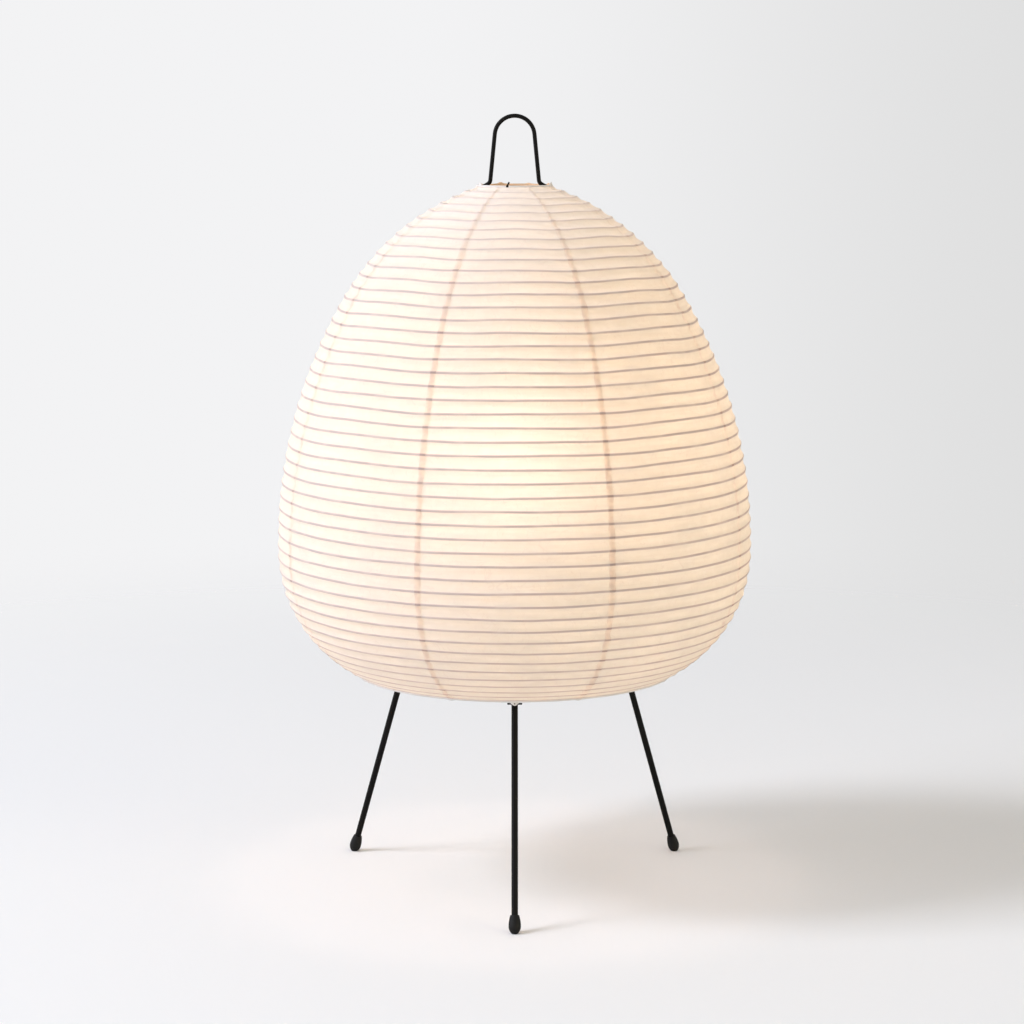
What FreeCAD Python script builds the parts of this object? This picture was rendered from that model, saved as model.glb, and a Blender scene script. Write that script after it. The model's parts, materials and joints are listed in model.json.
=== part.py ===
import FreeCAD, Part
import math
import os

V = FreeCAD.Vector
UP = V(0, 0, 1)
ORIGIN = V(0, 0, 0)

# Paper table lamp, millimetres, +Z up, origin on the floor below the lamp's axis, front towards -Y.

# Clearances
fit_gap = 0.05          # pieces that are fixed in each other
moving_gap = 0.3        # pieces that move past each other

# Shade: meridian of tangent arcs from the top ring down, headings in degrees below level
top_ring_radius = 20.4
top_ring_height = 390.8
shade_start_heading = 18.8
crown_radius = 136.3
crown_end_heading = 59.2
flank_radius = 272.0
flank_end_heading = 90.7
heel_radius = 76.1
heel_end_heading = 154.0
band_count = 46
band_taper = 0.0356     # bands get narrower downwards by this share,
taper_growth = 0.0459   # and by this much more towards the rim
paper_thickness = 0.35
paper_sag = 0.75
gore_count = 8
hoop_radius = 0.7
hoop_sides = 8
ring_wire_radius = 0.6

# Tie wire on the top ring
tie_azimuth = -101.0
tie_sleeve_wall = 0.2
tie_sleeve_length = 1.2
tie_end_radius = 0.45
tie_end_rise = 2.0
tie_end_lean = 28.0

# Paper tabs below the bottom ring
tab_width = 5.2
tab_drop = 1.8
tab_thickness = 0.5

# Legs and feet
leg_count = 3
front_azimuth = -90.0
leg_wire_radius = 1.75
leg_corner_radius_from_axis = 71.1
leg_tilt = 17.45
leg_bend_radius = 6.0
leg_arm_inner = 15.0
foot_length = 9.8
foot_max_radius = 3.3
foot_max_at = 3.9
foot_top_radius = 2.35
foot_socket_depth = 6.0
foot_tip_depth = 1.0

# Ring clips
clip_wire_radius = 0.5
clip_spread = 3.5
clip_overhang = 0.3
clip_slope = 12.5       # prongs rise outwards, degrees from level

# Hub
hub_radius = 34.0
hub_thickness = 12.0
hub_edge = 1.0
grub_screw_radius = 1.5
grub_screw_length = 3.8
leg_screw_from_axis = 25.0

# Stretcher wire, a harp in the X-Z plane
stretcher_wire_radius = 1.15
harp_root_from_axis = 26.0
harp_root_depth = 9.0
harp_root_rise = 10.0
harp_half_width = 44.0
harp_bow_rise = 36.0
harp_bend_radius = 14.0
shoulder_slope = 30.0
shoulder_bend_radius = 3.0
loop_height = 430.0
loop_arch_radius = 10.9
loop_taper = 5.6

# Nipple, nut, washer and cord bush
nipple_radius = 5.0
nipple_bore_radius = 3.85
nipple_below_hub = 8.0
nipple_above_hub = 6.0
washer_radius = 9.0
washer_thickness = 1.0
nut_across_flats = 14.0
nut_thickness = 4.0
bush_flange_radius = 6.4
bush_flange_thickness = 2.0
bush_sleeve_length = 6.0
bush_bore_radius = 3.2

# Lampholder
holder_radius = 19.5
holder_neck_radius = 17.6
holder_neck_from = 14.0
holder_base_height = 21.0
holder_floor = 3.0
holder_shell_height = 52.0
holder_lip_thickness = 3.0
holder_lip_radius = 14.8
block_radius = 15.2
block_thickness = 6.0
block_ledge = 1.8
screw_shell_radius = 14.2
screw_shell_wall = 0.6
screw_shell_flange_radius = 17.2
contact_strip_width = 5.0
contact_strip_thickness = 0.5
contact_strip_length = 12.0
terminal_screw_radius = 1.5
terminal_screw_head_radius = 2.9
terminal_screw_head_height = 2.2
terminal_screw_length = 3.5
terminal_screw_from_axis = 9.0

# Bulb
bulb_contact_rise = 24.0        # bulb tip above the hub
bulb_tip_radius = 4.6
bulb_tip_height = 2.2
bulb_insulator_height = 4.0
bulb_insulator_low_radius = 5.6
bulb_insulator_top_radius = 12.4
bulb_cap_radius = 13.1
bulb_cap_height = 20.0
bulb_cap_wall = 0.5
bulb_collar_height = 31.6
bulb_collar_wall = 1.6
bulb_collar_plug_depth = 6.5
bulb_collar_ledge = 4.0
bulb_globe_radius = 30.0
bulb_globe_wall = 1.2
bulb_globe_mouth_radius = 22.0
led_board_thickness = 1.6
led_chip_side = 3.0
led_chip_height = 0.8
led_chip_count = 8
led_chip_circle_radius = 11.0


# Shade meridian

SHADE_ARCS = (
    (crown_radius, crown_end_heading),
    (flank_radius, flank_end_heading),
    (heel_radius, heel_end_heading),
)


def meridian_length():
    heading = shade_start_heading
    total = 0.0
    for radius, end in SHADE_ARCS:
        total += radius * math.radians(end - heading)
        heading = end
    return total


def meridian(length):
    """Point (r, z) and outward normal (r, z) at an arc length from the top ring."""
    r, z = top_ring_radius, top_ring_height
    start = math.radians(shade_start_heading)
    left = length
    for radius, end_degrees in SHADE_ARCS:
        end = math.radians(end_degrees)
        heading = min(start + left / radius, end)
        r += radius * (math.sin(heading) - math.sin(start))
        z += radius * (math.cos(heading) - math.cos(start))
        left -= radius * (heading - start)
        start = heading
        if left <= 1e-9:
            break
    return (r, z), (math.sin(heading), math.cos(heading))


def below_skin(length, depth):
    """Point (r, z) at a depth inside the shade's skin."""
    (r, z), (nr, nz) = meridian(length)
    return r - depth * nr, z - depth * nz


shade_length = meridian_length()
band_pitch = shade_length / band_count
ring_edge = ring_wire_radius + moving_gap
(rim_radius, rim_height), rim_normal = meridian(shade_length)
gore_angle = 360.0 / gore_count

# Heights of the frame that follow from the shade's rim

arm_height = rim_height
hub_bottom = arm_height - hub_thickness / 2
hub_top = hub_bottom + hub_thickness
leg_slope = math.tan(math.radians(leg_tilt))
foot_circle_radius = leg_corner_radius_from_axis + arm_height * leg_slope
contact_height = hub_top + bulb_contact_rise


# Shared shapes

def save(shape, name):
    os.makedirs("parts", exist_ok=True)
    shape.exportStep("parts/" + name + ".step")


def cylinder(radius, low, high, centre=ORIGIN):
    return Part.makeCylinder(radius, high - low, V(centre.x, centre.y, low), UP)


def tube(outer, inner, low, high):
    return cylinder(outer, low, high).cut(cylinder(inner, low, high))


def turned(shape, azimuth):
    """Copy of a shape modelled on the +X side, turned to an azimuth about the lamp's axis."""
    copy = shape.copy()
    copy.rotate(ORIGIN, UP, azimuth)
    return copy


def revolved(points, degrees=360.0):
    """Solid of revolution of a closed outline of (r, z) points in the X-Z plane."""
    corners = [V(r, 0, z) for r, z in points]
    face = Part.Face(Part.makePolygon(corners + corners[:1]))
    return face.revolve(ORIGIN, UP, degrees)


def rounded_path(points, radii):
    """Wire of straight runs through points, with a tangent arc of its own radius at each inner one."""
    edges = []
    last = points[0]
    for before, corner, after, radius in zip(points, points[1:], points[2:], radii):
        towards = (before - corner).normalize()
        onwards = (after - corner).normalize()
        turn = math.pi - towards.getAngle(onwards)
        tangent = radius * math.tan(turn / 2)
        first = corner + towards * tangent
        second = corner + onwards * tangent
        bisector = (towards + onwards).normalize()
        middle = corner + bisector * (radius / math.cos(turn / 2) - radius)
        edges.append(Part.LineSegment(last, first).toShape())
        edges.append(Part.Arc(first, middle, second).toShape())
        last = second
    edges.append(Part.LineSegment(last, points[-1]).toShape())
    return edges


def wire_rod(edges, radius):
    """Round wire swept along a chain of tangent edges."""
    path = Part.Wire(edges)
    first = edges[0]
    start = first.valueAt(first.FirstParameter)
    heading = first.tangentAt(first.FirstParameter)
    section = Part.Wire(Part.makeCircle(radius, start, heading))
    return path.makePipeShell([section], True, False)


def leg_azimuths():
    return [front_azimuth + i * 360.0 / leg_count for i in range(leg_count)]


# Paper gores, sagging inwards between the hoops

def hoop_station(i):
    """Arc length of a hoop from the top ring."""
    share = i / band_count
    taper = band_taper + taper_growth * share
    return shade_length * (share + taper * share * (1 - share))


def band_ends():
    """Arc lengths where the paper crosses the hoops, from the top ring's edge to the bottom ring's."""
    inner = [hoop_station(i) for i in range(1, band_count)]
    return [ring_edge] + inner + [shade_length - ring_edge]


def scalloped_line(depth):
    """Arcs between neighbouring hoops, each drawn in at its middle."""
    ends = band_ends()
    arcs = []
    for low, high in zip(ends, ends[1:]):
        middle = (low + high) / 2
        sag = paper_sag * (high - low) / band_pitch
        stations = ((low, depth), (middle, depth + sag), (high, depth))
        knots = [below_skin(length, inset) for length, inset in stations]
        corners = [V(r, 0, z) for r, z in knots]
        arcs.append(Part.Arc(*corners).toShape())
    return arcs


def paper_edge(length):
    """Short line across the paper's thickness at an arc length."""
    corners = [below_skin(length, depth) for depth in (0.0, paper_thickness)]
    return Part.LineSegment(*[V(r, 0, z) for r, z in corners]).toShape()


def paper_gore():
    edges = scalloped_line(0.0) + scalloped_line(paper_thickness)
    edges += [paper_edge(ring_edge), paper_edge(shade_length - ring_edge)]
    outline = Part.Wire(Part.__sortEdges__(edges))
    gore = Part.Face(outline).revolve(ORIGIN, UP, gore_angle)
    return turned(gore, -gore_angle / 2)


def make_gores():
    gore = paper_gore()
    for i in range(gore_count):
        save(turned(gore, front_azimuth + i * gore_angle), "paper_gore_%d" % (i + 1))


# Hoops and rings of the shade

def split_hoop(length, depth):
    """Hoop of a split rod with flat sides, one of its corners turned to the paper."""
    r, z = below_skin(length, depth)
    normal = meridian(length)[1]
    facing = math.atan2(normal[1], normal[0])
    turns = [facing + i * 2 * math.pi / hoop_sides for i in range(hoop_sides)]
    return revolved([(r + hoop_radius * math.cos(a), z + hoop_radius * math.sin(a)) for a in turns])


def make_hoops():
    edge_angle = 2 * math.atan(2 * paper_sag / band_pitch)
    depth = paper_thickness + (hoop_radius + fit_gap) / math.cos(edge_angle)
    hoops = [split_hoop(hoop_station(i), depth) for i in range(1, band_count)]
    save(Part.makeCompound(hoops), "rib_hoops")


def make_rings():
    save(Part.makeTorus(top_ring_radius, ring_wire_radius, V(0, 0, top_ring_height)), "top_ring")
    save(Part.makeTorus(rim_radius, ring_wire_radius, V(0, 0, rim_height)), "bottom_ring")


def make_tie():
    sweep = math.degrees(tie_sleeve_length / top_ring_radius)
    bore_radius = ring_wire_radius + fit_gap
    sleeve_radius = bore_radius + tie_sleeve_wall
    centre = V(0, 0, top_ring_height)
    sleeve = Part.makeTorus(top_ring_radius, sleeve_radius, centre, UP, -180, 180, sweep)
    sleeve.rotate(ORIGIN, UP, -sweep / 2)
    bore = Part.makeTorus(top_ring_radius, bore_radius, centre)
    foot = top_ring_height + bore_radius + tie_sleeve_wall / 2
    lean = math.radians(tie_end_lean)
    way = V(0, math.sin(lean), math.cos(lean))
    end = Part.makeCylinder(tie_end_radius, tie_end_rise, V(top_ring_radius, 0, foot), way)
    save(turned(sleeve.fuse(end).cut(bore), tie_azimuth), "top_ring_tie")


def rim_tab():
    """Half-round tongue of paper just below the bottom ring."""
    half = tab_width / 2
    top = rim_height - ring_wire_radius - fit_gap
    low = top - tab_drop
    out = rim_radius - tab_thickness / 2
    left = V(out, -half, top)
    right = V(out, half, top)
    bow = Part.Arc(right, V(out, 0, low), left).toShape()
    outline = Part.Wire([Part.LineSegment(left, right).toShape(), bow])
    return Part.Face(outline).extrude(V(tab_thickness, 0, 0))


# Legs, feet and ring clips

def leg_point(height, offset=0.0):
    """Point on the leg's slanting axis at a height, shifted outwards."""
    r = leg_corner_radius_from_axis + (arm_height - height) * leg_slope
    return V(r + offset, 0, height)


def leg_axis():
    tilt = math.radians(leg_tilt)
    return V(-math.sin(tilt), 0, math.cos(tilt))


def leg():
    end_height = (foot_length - foot_socket_depth) * leg_axis().z
    points = [V(leg_arm_inner, 0, arm_height), V(leg_corner_radius_from_axis, 0, arm_height)]
    points.append(leg_point(end_height))
    return wire_rod(rounded_path(points, [leg_bend_radius]), leg_wire_radius)


def bulge(end_radius, end_height):
    """Arc that leaves the foot's widest point along the axis and ends at another point of its outline."""
    inset = foot_max_radius - end_radius
    rise = end_height - foot_max_at
    radius = (inset ** 2 + rise ** 2) / (2 * inset)
    half = math.asin(rise / radius) / 2
    middle_radius = foot_max_radius - radius * (1 - math.cos(half))
    middle = V(middle_radius, 0, foot_max_at + radius * math.sin(half))
    return Part.Arc(V(foot_max_radius, 0, foot_max_at), middle, V(end_radius, 0, end_height)).toShape()


def foot():
    """Drop-shaped cap along the leg, cut level where it stands on the floor."""
    bulge_low = bulge(0, -foot_tip_depth)
    bulge_high = bulge(foot_top_radius, foot_length)
    top = Part.LineSegment(V(foot_top_radius, 0, foot_length), V(0, 0, foot_length)).toShape()
    spine = Part.LineSegment(V(0, 0, foot_length), V(0, 0, -foot_tip_depth)).toShape()
    drop = Part.Face(Part.Wire([bulge_low, bulge_high, top, spine])).revolve(ORIGIN, UP, 360)
    socket = cylinder(leg_wire_radius + fit_gap, foot_length - foot_socket_depth - fit_gap, foot_length)
    drop = drop.cut(socket)
    drop.rotate(ORIGIN, V(0, 1, 0), -leg_tilt)
    drop.translate(V(foot_circle_radius, 0, 0))
    side = 4 * foot_length
    below = Part.makeBox(side, side, side, V(foot_circle_radius - side / 2, -side / 2, -side))
    return drop.cut(below)


def ring_clip():
    """Hairpin hooked round the inside of the leg, its two prongs spreading out below the bottom ring."""
    slope = math.radians(clip_slope)
    fall = math.tan(slope)
    out = V(math.cos(slope), 0, math.sin(slope))
    across = V(0, 1, 0)
    below_ring = rim_height - ring_wire_radius - moving_gap - clip_wire_radius / math.cos(slope)
    # seat: where the prongs' plane, just below the ring, meets the leg's axis
    level_gap = rim_radius - leg_point(below_ring).x
    run = level_gap / (1 + fall * leg_slope)
    seat = V(rim_radius - run, 0, below_ring - run * fall)
    reach = run / math.cos(slope)
    wrap = leg_wire_radius + clip_wire_radius + fit_gap
    lean = math.atan2(clip_spread - wrap, reach)
    side = wrap * math.cos(lean)
    back = -wrap * math.sin(lean)
    tip = reach + clip_overhang
    tip_side = side + (tip - back) * math.tan(lean)
    left_tip = seat + out * tip - across * tip_side
    left = seat + out * back - across * side
    right = seat + out * back + across * side
    right_tip = seat + out * tip + across * tip_side
    inside = seat - out * wrap
    edges = [
        Part.LineSegment(left_tip, left).toShape(),
        Part.Arc(left, inside, right).toShape(),
        Part.LineSegment(right, right_tip).toShape(),
    ]
    return wire_rod(edges, clip_wire_radius)


def make_legs():
    shapes = (("leg", leg()), ("foot", foot()), ("ring_clip", ring_clip()), ("rim_tab", rim_tab()))
    for name, shape in shapes:
        for i, azimuth in enumerate(leg_azimuths()):
            save(turned(shape, azimuth), "%s_%d" % (name, i + 1))


# Hub and its grub screws

def leg_screw():
    top = arm_height - leg_wire_radius - fit_gap
    return cylinder(grub_screw_radius, top - grub_screw_length, top, V(leg_screw_from_axis, 0, 0))


def stretcher_screw():
    start = harp_root_from_axis + stretcher_wire_radius + fit_gap
    height = hub_top - harp_root_depth / 2
    return Part.makeCylinder(grub_screw_radius, grub_screw_length, V(start, 0, height), V(1, 0, 0))


def make_hub():
    hub = cylinder(hub_radius, hub_bottom, hub_top)
    rims = [e for e in hub.Edges if e.Closed and len(e.Vertexes) == 1]
    hub = hub.makeChamfer(hub_edge, rims)
    hub = hub.cut(cylinder(nipple_radius + fit_gap, hub_bottom, hub_top))
    arm_bore = Part.makeCylinder(
        leg_wire_radius + fit_gap,
        hub_radius - leg_arm_inner + fit_gap,
        V(leg_arm_inner - fit_gap, 0, arm_height),
        V(1, 0, 0),
    )
    screw_hole = cylinder(
        grub_screw_radius + fit_gap, hub_bottom, arm_height, V(leg_screw_from_axis, 0, 0)
    )
    for azimuth in leg_azimuths():
        hub = hub.cut(turned(arm_bore, azimuth)).cut(turned(screw_hole, azimuth))
    root_hole = cylinder(
        stretcher_wire_radius + fit_gap,
        hub_top - harp_root_depth - fit_gap,
        hub_top,
        V(harp_root_from_axis, 0, 0),
    )
    side_hole = Part.makeCylinder(
        grub_screw_radius + fit_gap,
        hub_radius - harp_root_from_axis,
        V(harp_root_from_axis, 0, hub_top - harp_root_depth / 2),
        V(1, 0, 0),
    )
    for azimuth in (0, 180):
        hub = hub.cut(turned(root_hole, azimuth)).cut(turned(side_hole, azimuth))
    save(hub, "hub")
    save(Part.makeCompound([turned(leg_screw(), a) for a in leg_azimuths()]), "leg_screws")
    save(Part.makeCompound([turned(stretcher_screw(), a) for a in (0, 180)]), "stretcher_screws")


# Stretcher wire: roots in the hub, bow round the bulb, shoulders under the top ring, loop above

def make_stretcher():
    slope = math.radians(shoulder_slope)
    taper = math.radians(loop_taper)
    drop = (ring_wire_radius + moving_gap + stretcher_wire_radius) / math.cos(slope)
    shoulder_height = top_ring_height - drop
    arch_centre = loop_height - stretcher_wire_radius - loop_arch_radius
    arch_x = loop_arch_radius * math.cos(taper)
    arch_z = arch_centre + loop_arch_radius * math.sin(taper)
    # the loop's side and the shoulder meet at the neck
    side_run = math.tan(taper)
    shoulder_run = math.tan(slope)
    neck_x = (arch_x + side_run * (arch_z - shoulder_height - shoulder_run * top_ring_radius))
    neck_x /= 1 - side_run * shoulder_run
    neck_z = shoulder_height + (top_ring_radius - neck_x) * shoulder_run
    harp_top = shoulder_height - (harp_half_width - top_ring_radius) * shoulder_run
    right = [
        V(harp_root_from_axis, 0, hub_top - harp_root_depth),
        V(harp_root_from_axis, 0, hub_top + harp_root_rise),
        V(harp_half_width, 0, hub_top + harp_bow_rise),
        V(harp_half_width, 0, harp_top),
        V(neck_x, 0, neck_z),
        V(arch_x, 0, arch_z),
    ]
    left = [V(-p.x, 0, p.z) for p in reversed(right)]
    radii = [harp_bend_radius, harp_bend_radius, harp_bend_radius, shoulder_bend_radius]
    arch = Part.Arc(right[-1], V(0, 0, arch_centre + loop_arch_radius), left[0]).toShape()
    edges = rounded_path(right, radii) + [arch] + rounded_path(left, radii[::-1])
    save(wire_rod(edges, stretcher_wire_radius), "stretcher_wire")


# Nipple, nut, washer and cord bush

def make_nipple():
    low = hub_bottom - nipple_below_hub
    save(tube(nipple_radius, nipple_bore_radius, low, hub_top + nipple_above_hub), "nipple")
    washer_low = hub_bottom - washer_thickness
    save(tube(washer_radius, nipple_radius + fit_gap, washer_low, hub_bottom), "lock_washer")
    corner = nut_across_flats / math.sqrt(3)
    ring = [V(corner * math.cos(i * math.pi / 3), corner * math.sin(i * math.pi / 3), 0) for i in range(7)]
    nut = Part.Face(Part.makePolygon(ring)).extrude(V(0, 0, nut_thickness))
    nut.translate(V(0, 0, washer_low - nut_thickness))
    nut = nut.cut(cylinder(nipple_radius + fit_gap, washer_low - nut_thickness, washer_low))
    save(nut, "lock_nut")
    sleeve_radius = nipple_bore_radius - fit_gap
    bush = cylinder(bush_flange_radius, low - bush_flange_thickness, low)
    bush = bush.fuse(cylinder(sleeve_radius, low - bush_flange_thickness, low + bush_sleeve_length))
    bush = bush.cut(cylinder(bush_bore_radius, low - bush_flange_thickness, low + bush_sleeve_length))
    save(bush.removeSplitter(), "cord_bush")


# Lampholder

def make_holder():
    base_top = hub_top + holder_base_height
    block_low = base_top - block_thickness
    neck_low = hub_top + holder_neck_from
    base = cylinder(holder_radius, hub_top, neck_low).fuse(cylinder(holder_neck_radius, neck_low, base_top))
    base = base.removeSplitter()
    base = base.cut(cylinder(nipple_radius + fit_gap, hub_top, base_top))
    base = base.cut(cylinder(block_radius - block_ledge, hub_top + holder_floor, base_top))
    base = base.cut(cylinder(block_radius + fit_gap, block_low, base_top))
    save(base, "holder_base")

    shell_top = hub_top + holder_shell_height
    shell = cylinder(holder_radius, neck_low, shell_top)
    shell = shell.cut(cylinder(holder_neck_radius + fit_gap, neck_low, shell_top - holder_lip_thickness))
    shell = shell.cut(cylinder(holder_lip_radius, neck_low, shell_top))
    save(shell, "holder_shell")

    flange_top = base_top + screw_shell_wall
    sleeve_top = shell_top - holder_lip_thickness - fit_gap
    sleeve = cylinder(screw_shell_flange_radius, base_top, flange_top)
    sleeve = sleeve.fuse(cylinder(screw_shell_radius, base_top, sleeve_top))
    sleeve = sleeve.cut(cylinder(screw_shell_radius - screw_shell_wall, base_top, sleeve_top))
    save(sleeve.removeSplitter(), "holder_screw_shell")

    block = cylinder(block_radius, block_low, base_top)
    screws = []
    for side in (-1, 1):
        place = V(0, side * terminal_screw_from_axis, 0)
        shank_top = block_low + terminal_screw_length
        block = block.cut(cylinder(terminal_screw_radius + fit_gap, block_low, shank_top + fit_gap, place))
        head = cylinder(terminal_screw_head_radius, block_low - terminal_screw_head_height, block_low, place)
        screws.append(head.fuse(cylinder(terminal_screw_radius, block_low, shank_top, place)))
    save(block, "terminal_block")
    save(Part.makeCompound(screws), "terminal_screws")

    # strip: flat foot on the block, then a tongue that rises to just below the bulb's tip
    rise = contact_height - moving_gap - base_top - contact_strip_thickness
    step = contact_strip_length / 3
    under = [(-2 * step, 0), (-step, 0), (0, rise), (step, rise)]
    over = [(x, z + contact_strip_thickness) for x, z in reversed(under)]
    corners = [V(x, -contact_strip_width / 2, base_top + z) for x, z in under + over]
    strip = Part.Face(Part.makePolygon(corners + corners[:1])).extrude(V(0, contact_strip_width, 0))
    save(strip, "centre_contact")


# Bulb

def make_bulb():
    tip_top = contact_height + bulb_tip_height
    cap_low = tip_top + bulb_insulator_height
    cap_top = cap_low + bulb_cap_height
    collar_top = cap_top + bulb_collar_height
    save(cylinder(bulb_tip_radius, contact_height, tip_top), "bulb_tip")
    low = bulb_insulator_low_radius
    cone = [(0, tip_top), (low, tip_top), (bulb_insulator_top_radius, cap_low), (0, cap_low)]
    save(revolved(cone), "bulb_insulator")

    cap = cylinder(bulb_cap_radius, cap_low, cap_top)
    cap = cap.cut(cylinder(bulb_cap_radius - bulb_cap_wall, cap_low + bulb_cap_wall, cap_top))
    save(cap, "bulb_cap")

    # collar: plug inside the cap, then a cone that opens to a ledge under the globe and the board
    plug = bulb_cap_radius - bulb_cap_wall - fit_gap
    plug_low = cap_top - bulb_collar_plug_depth
    ledge_radius = bulb_globe_mouth_radius - bulb_collar_ledge
    ledge_low = collar_top - bulb_collar_wall
    outline = [
        (plug - bulb_collar_wall, plug_low),
        (plug, plug_low),
        (plug, cap_top),
        (bulb_cap_radius, cap_top),
        (bulb_globe_mouth_radius, collar_top),
        (ledge_radius, collar_top),
        (ledge_radius, ledge_low),
        (plug - bulb_collar_wall, cap_top),
    ]
    save(revolved(outline), "bulb_collar")

    rise = math.sqrt(bulb_globe_radius ** 2 - bulb_globe_mouth_radius ** 2)
    centre = collar_top + rise
    inner_radius = bulb_globe_radius - bulb_globe_wall
    globe = Part.makeSphere(bulb_globe_radius, V(0, 0, centre))
    globe = globe.cut(Part.makeSphere(inner_radius, V(0, 0, centre)))
    side = 4 * bulb_globe_radius
    below = Part.makeBox(side, side, side, V(-side / 2, -side / 2, collar_top - side))
    save(globe.cut(below), "bulb_globe")

    board_radius = math.sqrt(inner_radius ** 2 - rise ** 2) - moving_gap
    board_top = collar_top + led_board_thickness
    save(cylinder(board_radius, collar_top, board_top), "led_board")
    chips = []
    for i in range(led_chip_count):
        corner = V(led_chip_circle_radius - led_chip_side / 2, -led_chip_side / 2, board_top)
        chip = Part.makeBox(led_chip_side, led_chip_side, led_chip_height, corner)
        chips.append(turned(chip, i * 360.0 / led_chip_count))
    save(Part.makeCompound(chips), "led_chips")


make_gores()
make_hoops()
make_rings()
make_tie()
make_legs()
make_hub()
make_stretcher()
make_nipple()
make_holder()
make_bulb()
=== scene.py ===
"""Looks of the paper table lamp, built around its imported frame. Metres, +Z up, front towards -Y."""

import json
import math

import bmesh
import bpy
import numpy as np
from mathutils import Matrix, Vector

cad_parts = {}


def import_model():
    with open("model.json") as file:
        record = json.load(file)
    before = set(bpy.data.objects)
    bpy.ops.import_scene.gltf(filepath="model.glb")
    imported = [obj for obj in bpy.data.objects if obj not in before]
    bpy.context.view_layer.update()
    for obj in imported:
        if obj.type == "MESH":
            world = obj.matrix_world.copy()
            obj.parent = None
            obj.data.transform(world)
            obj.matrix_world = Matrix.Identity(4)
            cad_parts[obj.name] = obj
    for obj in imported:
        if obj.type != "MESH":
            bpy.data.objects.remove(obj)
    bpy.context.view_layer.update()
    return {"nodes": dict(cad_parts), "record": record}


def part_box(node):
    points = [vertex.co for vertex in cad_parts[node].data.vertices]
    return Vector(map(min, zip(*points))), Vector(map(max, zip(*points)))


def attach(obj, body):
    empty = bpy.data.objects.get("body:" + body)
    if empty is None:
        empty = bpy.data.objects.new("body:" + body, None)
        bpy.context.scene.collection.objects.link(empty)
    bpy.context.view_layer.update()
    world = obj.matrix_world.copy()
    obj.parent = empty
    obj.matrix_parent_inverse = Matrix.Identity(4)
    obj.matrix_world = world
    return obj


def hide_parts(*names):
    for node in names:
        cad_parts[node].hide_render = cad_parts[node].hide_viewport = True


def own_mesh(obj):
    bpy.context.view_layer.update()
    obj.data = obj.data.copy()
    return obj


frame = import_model()

MM = 0.001

# Shade outline: tangent arcs from the top ring down, (radius, heading below level where the arc ends)
top_low, top_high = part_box("top_ring")
rim_low, rim_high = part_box("bottom_ring")
RING_WIRE_R = (top_high.z - top_low.z) / 2
TOP_RING_Z = (top_high.z + top_low.z) / 2
TOP_RING_R = top_high.x - RING_WIRE_R
RIM_Z = (rim_high.z + rim_low.z) / 2
RIM_R = rim_high.x - RING_WIRE_R
START_HEADING = 18.8
SHADE_ARCS = ((136.3 * MM, 59.2), (272.0 * MM, 90.7), (76.1 * MM, 154.0))
BANDS = 46
BAND_TAPER = 0.0356            # bands get narrower downwards,
TAPER_GROWTH = 0.0459          # and faster below the middle
GORES = 8
HALF_GORE = math.pi / GORES
FRONT_AZIMUTH = -90.0
SEAM_AZIMUTHS = [FRONT_AZIMUTH + (i + 0.5) * 360.0 / GORES for i in range(GORES)]
ARC_STARTS = (START_HEADING,) + tuple(end for _, end in SHADE_ARCS[:-1])
SHADE_LENGTH = sum(r * math.radians(end - start) for (r, end), start in zip(SHADE_ARCS, ARC_STARTS))
BAND_PITCH = SHADE_LENGTH / BANDS

# Paper of the gores; a cell is the width and height of a patch of noise
PAPER_SAG = 0.95 * MM          # dip between two hoops,
SAG_UNEVEN = 0.25              # and the share by which it varies
SAG_CELL = (28 * MM, 1.3 * BAND_PITCH)
RIDGE_ROUND = 0.17 * MM        # how softly the paper turns over a hoop
RING_EDGE = 0.9 * MM           # paper ends this far from the middle of a ring
WRINKLE = 0.15 * MM
WRINKLE_CELL = (18 * MM, 1.5 * MM)
PLEAT = 0.20 * MM
PLEAT_CELL = (5 * MM, 2 * MM)
PLEAT_REACH = 10 * MM          # how far pleats reach from a seam
CROWN_LENGTH = 110 * MM        # the crown, where pleats and laps stand higher
CROWN_PLEAT = 0.30 * MM
CROWN_LIFT = 0.8
ROWS_PER_BAND = 12
GORE_COLUMNS = 44

# Seams: each gore laps over the next
SEAM_LAP = 3.2 * MM
SEAM_LIFT = 0.16 * MM
SEAM_DROP = 0.9 * MM           # the seams draw the upper hoops down by this
DROP_SHARES = (                # shares of the way down the shade, and of the drop there
    (0.0, 0.1, 0.35, 0.7),
    (0.4, 1.0, 1.0, 0.0),
)
TOP_LAP = 0.45                 # share of the lap at the top ring,
FULL_LAP_FROM = 70 * MM        # and how far down it has its whole width
LAP_RAGGED = 0.14
LAP_RAGGED_STEP = 2.6 * MM
LAP_COLUMNS = 4
LAP_STEPS = np.linspace(0, 1, LAP_COLUMNS + 1)[1:]

# Hoops, which stray in waves: (number of waves round the lamp, size)
HOOP_R = 0.33 * MM
HOOP_DEPTH = 0.50 * MM         # middle of a hoop below the paper's ridge
HOOP_WAVES = (
    (3, 0.10 * MM), (5, 0.10 * MM), (8, 0.09 * MM),
    (13, 0.07 * MM), (21, 0.05 * MM), (34, 0.03 * MM),
)

# Seeds of the uneven places
HOOP_SEED = 5
TOP_BINDING_SEED = 11
RIM_BINDING_SEED = 12
SAG_SEED = 100
WRINKLE_SEED = 200
PLEAT_SEED = 300
LAP_SEED = 400                 # and the next ones, for the other gores

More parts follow.
